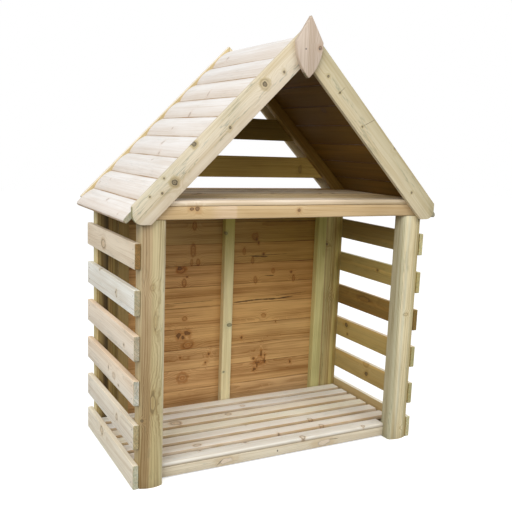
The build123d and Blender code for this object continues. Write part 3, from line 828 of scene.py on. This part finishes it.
# seed, tone, colour at the foot and colour at the head of each batten; the darker heads are painted shade
# below the shelf
BATTENS = {"left": (84, (0.56, 0.44, 0.32), (1, 1, 1), (0.8, 0.8, 0.7)),
           "middle": (86, (1.46, 1.44, 1.54), (0.95, 0.95, 1.02), (0.50, 0.52, 0.20)),
           "right": (85, (1.30, 1.34, 1.17), (0.70, 0.70, 0.67), (0.56, 0.59, 0.36))}
for name, (seed, tone, foot, head) in BATTENS.items():
    tone = faded(faded(tone, 0.04, 0.42, head=head), -0.4, 0.1, foot=foot)
    plank(f"back_batten_{name}", "_timber", Z, X, tone, seed, BATTEN, "batten_wood", 0.003)


# ---------------------------------------------------------------- floor
def first_slat(co):
    """The first slat's tone: darker low on its front edge, where it meets the board under it."""
    return (0.5, 0.42, 0.3) if co.y < -0.0305 and co.z < -0.006 else (0.96, 1.0, 1.0)


FLOOR_TONES = (first_slat, (1.03, 1.05, 1.03), (1.05, 1.1, 1.11), (1.07, 1.12, 1.04), (1.07, 1.09, 1.02),
               (1.09, 1.18, 1.25), (1.09, 1.16, 1.17))
SLAT_WIDTH, SLAT_ROUND = 0.062, 0.008
between_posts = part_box("floor_fascia")[1].x * 2.0
centre, size = spans("floor_slats")
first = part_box("floor_slats")[0].y + SLAT_WIDTH / 2.0
pitch = (size.y - SLAT_WIDTH) / (len(FLOOR_TONES) - 1)
boards = []
for index, tone in enumerate(FLOOR_TONES):
    length = size.x if index else between_posts
    board = eased_board(length, SLAT_WIDTH, size.z, 0.001, face_edge=SLAT_ROUND)
    at = Vector((0, first + index * pitch, centre.z))
    # the seam on every slat after the first is painted shade in the gaps between slats
    boards.append(season(board, frame_of(at, X, Y), tone, 90 + index, seam=0.01 if index else 0.0))
piece("floor_slat_boards", boards, FLOOR, ["floor_slats"])
plank("floor_fascia", "_board", X, Z, (1.0, 0.98, 0.9), 99, FASCIA, "floor_wood", 0.0025)
for name in ("left", "middle", "right"):
    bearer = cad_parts[f"floor_bearer_{name}"].data
    bearer.materials.clear()
    bearer.materials.append(BEARER)


# ---------------------------------------------------------------- shelf
def front_edge(co):
    """The front shelf board's tone: paler on top with painted light, golden along its edge, and darker to
    the right with painted shade.
    """
    if co.y > 0.052:
        return 0.5, 0.38, 0.26
    tone, right_shade = (1.02, 1.06, 1.12), (0.74, 0.72, 0.66)
    if co.z > 0.0:
        tone, right_shade = (1.25, 1.38, 1.7), (0.66, 0.62, 0.53)
    share = share_of(co.x, 0.16, 0.28)
    return tuple(t * (1 + (d - 1) * share) for t, d in zip(tone, right_shade))


def pale_patch(co):
    """The rail's tone: a paler sapwood patch that fades in slowly and stops short, and painted shade
    towards the right end.
    """
    share = share_of(co.x, -0.37, -0.32) if co.x < -0.256 else 0.0
    right_shade = 1.0 - 0.13 * share_of(co.x, 0.25, 0.40)
    return (0.90 + 0.10 * share) * right_shade, (0.84 + 0.13 * share) * right_shade, (0.71 + 0.27 * share) * right_shade


# tone, rounding of the edges and dirt along them, from the front board to the back; the third to fifth
# boards are made paler with painted light
SHELF_BOARDS = (
    (front_edge, 0.004, 0.0), ((0.95, 0.93, 0.77), 0.002, 0.008), ((1.3, 1.28, 1.12), 0.002, 0.008),
    ((1.4, 1.55, 1.8), 0.002, 0.008), ((1.4, 1.5, 1.6), 0.002, 0.008), ((0.84, 0.68, 0.42), 0.002, 0.0))
for number, (tone, edge, seam) in enumerate(SHELF_BOARDS, start=1):
    plank(f"shelf_board_{number}", "_plank", X, Y, tone, 110 + number, SHELF, "shelf_wood", edge,
          seam=seam)

plank("shelf_rail_front", "_timber", X, Z, pale_patch, 120, SHELF, "shelf_wood", 0.005, step=0.01)
ridge = Vector((0, 0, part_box("rear_rafter_right")[1].z))
for side, out in SIDES:
    node = f"shelf_rail_{side}"
    centre, size = spans(node)
    place = frame_of(centre, Y, X * -1.0)
    board = squared(size.y, size.x, size.z)
    saw(board, place, ridge, slope(out)[1])
    ease(board, sharp_edges(board), 0.002)
    season(board, place, (0.8, 0.75, 0.65), 122)
    piece(node + "_timber", [board], SHELF, [node])

# ---------------------------------------------------------------- roof boards
JOINT_THICK, CROWN_THICK, EAVE_THICK, EAVE_ROUND = 0.0085, 0.020, 0.018, 0.008
FIRST_ROOF_JOINT, ROOF_PITCH, ROOF_BOARDS, ROOF_STRIPS = 0.108, 0.109, 9, 12
JOINT_GAP, ROOF_EDGE, ROOF_END = 0.0002, 0.0012, 0.0008
# painted highlight and shade across each roof board: paler near its upper edge, darker near its lower edge
# where the crown turns from the light
ROOF_CROWN_SHADING = bands((-0.05, (1.03, 1.06, 1.09)), (-0.015, (1.02, 1.04, 1.06)), (0.02, (0.98, 0.97, 0.96)),
                   (0.052, (0.90, 0.86, 0.81)))
for (side, out), first_seed in zip(SIDES, (130, 150)):
    node = f"roof_boards_{side}"
    centre, size = spans(node)
    down, up = slope(out)
    peak = Vector((0, centre.y, ridge.z))
    eave = (ridge.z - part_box(node)[0].z - EAVE_ROUND) * ROOT2 + 2.0 * EAVE_ROUND
    edges = [-JOINT_THICK] + [FIRST_ROOF_JOINT + ROOF_PITCH * i for i in range(ROOF_BOARDS - 1)] + [eave]
    boards = []
    for index, (upper, lower) in enumerate(zip(edges, edges[1:])):
        at_eave = index == ROOF_BOARDS - 1
        place = frame_of(peak + down * ((upper + lower) / 2.0), Y * -out, down)
        board = crowned(size.y, lower - upper - JOINT_GAP, JOINT_THICK, CROWN_THICK, ROOF_STRIPS,
                        EAVE_THICK if at_eave else None)
        if index == 0:
            saw(board, place, peak, Vector((-out, 0, 0)))
        if at_eave:
            nose = [e for e in sharp_edges(board, runs_along, 0.9) if min(v.co.y for v in e.verts) > 0]
            ease(board, nose, EAVE_ROUND, 5)
        ease(board, sharp_edges(board, runs_along, 0.9), ROOF_EDGE)
        ease(board, sharp_edges(board, runs_across, 0.9), ROOF_END, 1)
        tone = dyed(ROOF_CROWN_SHADING, any_tone(0.015))
        # the undersides get painted shade, and the seams a thin brown line of painted shade
        boards.append(season(board, place, tone, first_seed + index, wobble=0.0004, seam=0.005,
                             sheltered=(-up,)))
    piece(node + "_lapped", boards, ROOF, [node])


# ---------------------------------------------------------------- sloping boards
def sloping(node, width, out, tone, seed, material, foot_round=0.0, plumb_foot=True, sheltered=()):
    """A board that follows the roof: plumb at the peak, level, plumb and rounded at its foot as asked."""
    centre, size = spans(node)
    low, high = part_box(node)
    down, across = slope(out)
    middle = Vector((0, centre.y, high.z)) + down * (size.x / ROOT2) - across * (width / 2.0)
    place = frame_of(middle, down, across)
    board = squared(size.x * ROOT2 + width * 2.0, width, size.y)
    tip = out * size.x
    saw(board, place, Vector((0, centre.y, centre.z)), Vector((-out, 0, 0)))
    if plumb_foot:
        saw(board, place, Vector((tip, centre.y, centre.z)), Vector((out, 0, 0)))
    saw(board, place, Vector((0, centre.y, low.z)), Vector((0, 0, -1)))
    if foot_round:
        corner = (place.inverted() @ Vector((tip, centre.y, low.z))).xy
        heel = [e for e in board.edges if all((v.co.xy - corner).length < 0.001 for v in e.verts)]
        ease(board, heel, foot_round, 8)
    ease(board, sharp_edges(board), 0.002)
    season(board, place, tone, seed, sheltered=sheltered)
    piece(node + "_board", [board], material, [node])


def behind_the_boards(out):
    """The rear barges' tone: paler along the top; where they face the roof boards, painted shade on the
    left barge and painted light on the right one.
    """
    roof_face_shading = (0.8, 0.7, 0.52) if out < 0 else (1.0, 0.95, 0.9)

    def rule(co):
        if co.y > 0.0335:
            return 1.2, 1.2, 1.35
        return roof_face_shading if co.z * out > 0 else (0.9, 0.85, 0.75)
    return rule


BARGE_TONES = {
    "left": bands((-0.045, (0.99, 0.94, 1.0)), (-0.012, (0.93, 0.88, 0.9)), (0.006, (0.82, 0.83, 0.84)),
                  (0.042, (0.85, 0.86, 0.89)), (0.047, (1.0, 1.0, 1.08)), wander=0.02),
    "right": bands((-0.045, (0.94, 0.91, 0.88)), (-0.012, (0.92, 0.9, 0.84)), (0.008, (0.66, 0.65, 0.57)),
                   (0.047, (0.68, 0.66, 0.58)), wander=0.02),
}

for (side, out), seed in zip(SIDES, (149, 151)):
    sloping(f"front_barge_{side}", 0.095, out, BARGE_TONES[side], seed, BARGE, 0.038)
    sloping(f"rear_barge_{side}", 0.070, out, behind_the_boards(out), seed + 5, BARGE, 0.006)
    # the rafter's front face gets painted shade under the roof
    sloping(f"rear_rafter_{side}", 0.044, out, (0.66, 0.54, 0.27), seed + 10, GABLE,
            plumb_foot=False, sheltered=(-Y,))

# the upper slat's dark face tone is painted shade under the roof
for level, face in (("lower", (1.2, 1.05, 0.55)), ("upper", (0.4, 0.325, 0.11))):
    node = f"gable_slat_{level}"
    centre, size = spans(node)
    place = frame_of(centre, X, Z)
    board = squared(size.x, size.z, size.y)
    for side, out in SIDES:
        saw(board, place, ridge, slope(out)[1])
    ease(board, sharp_edges(board), 0.003, 3)
    season(board, place, two_faced(face, (1.3, 1.25, 1.2)), 175)
    piece(node + "_board", [board], GABLE, [node])

# ---------------------------------------------------------------- finial
leaf = bmesh.new()
leaf.from_mesh(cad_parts["finial"].data)
bmesh.ops.remove_doubles(leaf, verts=leaf.verts, dist=0.00005)
bmesh.ops.dissolve_limit(leaf, angle_limit=0.01, verts=leaf.verts, edges=leaf.edges)
centre, size = spans("finial")
place = frame_of(centre, Z, X * -1.0)
bmesh.ops.transform(leaf, matrix=place.inverted(), verts=leaf.verts)
ease(leaf, sharp_edges(leaf, least=1.0), 0.003, 3)
season(leaf, place, (1, 1, 1), 180, wobble=0.0)
piece("finial_leaf", [leaf], LEAF, ["finial"])

# ---------------------------------------------------------------- nails
NAIL = bpy.data.materials.new("nail_steel")
w = blank(NAIL)
patchy = w.noise(w.put("TexCoord").outputs["Object"], 400.0)
w.close(w.put("BsdfPrincipled", {
    "Base Color": w.mix(patchy, (0.10, 0.085, 0.07, 1), (0.20, 0.18, 0.16, 1)),
    "Roughness": w.ramp(patchy, 0.3, 0.7, 0.4, 0.6),
    "Metallic": 0.7,
}))
SLAT_NAIL, FINIAL_NAIL, NAIL_DEPTH = 0.0024, 0.0038, 0.0008
NAIL_RISES = (-0.025, 0.024)  # from the middle of a slat


def nail_heads(name, places, outward, radius):
    """Flat round heads driven nearly flush with a face."""
    bm = bmesh.new()
    turn = outward.to_track_quat("Z", "Y").to_matrix().to_4x4()
    for place in places:
        bmesh.ops.create_cone(bm, cap_ends=True, segments=16, radius1=radius, radius2=radius * 0.8,
                              depth=NAIL_DEPTH, matrix=Matrix.Translation(Vector(place)) @ turn)
    piece(name, [bm], NAIL)


for side, out in SIDES:
    places = []
    for number in range(1, 7):
        centre, size = spans(f"{side}_slat_{number}")
        for end in ("front", "rear"):
            post = spans(f"{end}_post_{side}")[0]
            for rise in NAIL_RISES:
                along = post.y + chance.uniform(-0.004, 0.004)
                places.append((centre.x + out * size.x / 2.0, along, centre.z + rise))
    nail_heads(f"{side}_slat_nails", places, X * out, SLAT_NAIL)
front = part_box("finial")[0].y
nail_heads("finial_nails", [(-0.019, front, 1.640), (0.041, front, 1.645)], -Y, FINIAL_NAIL)

# ---------------------------------------------------------------- ground, sky, lamps and camera
pale_floor = bpy.data.materials.new("pale_floor")
w = blank(pale_floor)
seen = w.seen()
matt = w.put("BsdfDiffuse", {"Color": w.mix(seen, (0.20, 0.196, 0.185, 1), (0.8, 0.8, 0.8, 1))})
lift = w.put("Emission", {"Color": (1, 1, 1, 1), "Strength": w.times(seen, 0.5)})
w.close(w.put("AddShader", {0: matt.outputs[0], 1: lift.outputs[0]}))

ground = bmesh.new()
bmesh.ops.create_grid(ground, x_segments=1, y_segments=1, size=14.0)
ground_mesh = bpy.data.meshes.new("ground")
ground.to_mesh(ground_mesh)
ground.free()
ground_mesh.materials.append(pale_floor)
ground_plane = bpy.data.objects.new("ground", ground_mesh)
bpy.context.scene.collection.objects.link(ground_plane)

world = bpy.data.worlds.new("soft_sky")
bpy.context.scene.world = world
w = blank(world)
rise = w.put("SeparateXYZ", {0: w.put("TexCoord").outputs["Generated"]}).outputs[2]
light = w.put("Background", {"Color": (1, 1, 1, 1), "Strength": w.ramp(rise, -0.1, 0.6, 0.70, 0.68)})
white = w.put("Background", {"Color": (1, 1, 1, 1), "Strength": 1.0})
w.close(w.put("MixShader", {0: w.seen(), 1: light.outputs[0], 2: white.outputs[0]}), "OutputWorld")


def softbox(name, at, towards, size, power):
    """A large square lamp."""
    data = bpy.data.lights.new(name, "AREA")
    data.shape = "SQUARE"
    data.size = size
    data.energy = power
    lamp = bpy.data.objects.new(name, data)
    lamp.location = at
    lamp.rotation_euler = (Vector(towards) - Vector(at)).to_track_quat("-Z", "Y").to_euler()
    bpy.context.scene.collection.objects.link(lamp)


softbox("key_light", (-3.6, -3.4, 3.6), (0, 0, 0.8), 3.5, 205)
softbox("front_light", (2.0, -3.2, 3.2), (0, 0, 0.6), 2.0, 52)

CAMERA_PLACE = (-1.4250, -2.7038, 1.2961)
YAW, DOWN, ROLL = math.radians(27.91), math.radians(9.45), math.radians(2.15)
camera_data = bpy.data.cameras.new("camera")
camera = bpy.data.objects.new("camera", camera_data)
bpy.context.scene.collection.objects.link(camera)
camera_data.sensor_width = 36.0
camera_data.lens = 50.2
camera_data.shift_x = -0.0046
camera_data.shift_y = 0.0089
aim = Matrix.Rotation(-YAW, 4, "Z") @ Matrix.Rotation(math.radians(90.0) - DOWN, 4, "X")
camera.matrix_world = Matrix.Translation(CAMERA_PLACE) @ aim @ Matrix.Rotation(ROLL, 4, "Z")
bpy.context.scene.camera = camera
bpy.context.scene.view_settings.view_transform = "Standard"
